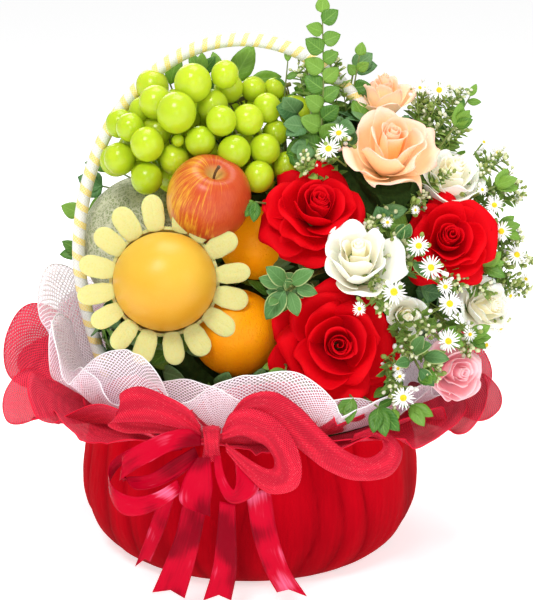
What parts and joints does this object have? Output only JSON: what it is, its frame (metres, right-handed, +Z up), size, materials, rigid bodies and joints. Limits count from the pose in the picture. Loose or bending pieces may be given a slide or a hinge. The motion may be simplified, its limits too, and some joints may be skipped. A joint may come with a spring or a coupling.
{
  "type": "fruit and flower gift basket",
  "caption": "Gift basket with a hoop handle, wrapped in red pleated cloth, net ruffles and a ribbon bow, heaped with fresh fruit, grapes, roses, daisies and leaves.",
  "frame": {"origin": "centre of the basket's flat base, on the surface it rests on", "axes": "+Z up; -Y towards the viewer, where the bow is; +X to the viewer's right, where the roses are"},
  "size_m": [0.5259, 0.4432, 0.536],
  "materials": {
    "red_cloth": "matte gathered cloth",
    "handle_wrap": "white strip wound with a pale yellow one",
    "melon_rind": "grey-green netted rind",
    "pear_skin": "golden skin with a soft shine",
    "foam": "pale lemon foam",
    "apple_skin": "red streaks over yellow",
    "orange_peel": "pored peel",
    "grape_skin": "waxy yellow-green skin",
    "red_petals": "velvet petals",
    "white_petals": "cream petals",
    "peach_petals": "salmon petals with pink edges",
    "pink_petals": "soft pink petals",
    "packing": "dark moss and stems",
    "white_net": "stiff open net",
    "red_net": "stiff open net",
    "satin": "glossy satin ribbon",
    "leaf": "soft green leaves with pale veins",
    "aster": "white rays round a yellow disc"
  },
  "bodies": {
    "root": {"apple": "apple_skin", "asters_back": "aster", "asters_bottom": "aster", "asters_grape_side": "aster", "asters_low_middle": "aster", "asters_low_right": "aster", "asters_middle": "aster", "asters_right": "aster", "asters_right_low": "aster", "asters_right_top": "aster", "asters_top": "aster", "basket_wrap": "red_cloth", "bow_knot": "red_net", "bow_loop_left": "red_net", "bow_loop_right": "red_net", "bow_trail": "red_net", "branch_back_left": "leaf", "branch_back_middle": "leaf", "branch_back_right": "leaf", "branch_behind_grapes": "leaf", "branch_bud": "leaf", "branch_left_side": "leaf", "branch_left_top": "leaf", "branch_low_left": "leaf", "branch_low_right": "leaf", "branch_middle": "leaf", "branch_right_high": "leaf", "branch_right_side": "leaf", "branch_right_top": "leaf", "branch_shoulder": "leaf", "branch_tall": "leaf", "foam_collar": "foam", "foliage_bed": "packing", "golden_pear": "pear_skin", "grapes": "grape_skin", "handle": "handle_wrap", "melon": "melon_rind", "orange_high": "orange_peel", "orange_low": "orange_peel", "rose_peach_back": "peach_petals", "rose_peach_front": "peach_petals", "rose_pink_low": "pink_petals", "rose_red_left": "red_petals", "rose_red_low": "red_petals", "rose_red_right": "red_petals", "rose_white_back": "white_petals", "rose_white_front": "white_petals", "rose_white_right": "white_petals", "rose_white_small": "white_petals", "ruffle_red": "red_net", "ruffle_white": "white_net", "satin_loop_drop": "satin", "satin_loop_lower": "satin", "satin_loop_middle": "satin", "satin_loop_upper": "satin", "satin_tail_left": "satin", "satin_tail_middle": "satin", "satin_tail_outer": "satin", "satin_tail_right": "satin"}
  },
  "joints": []
}
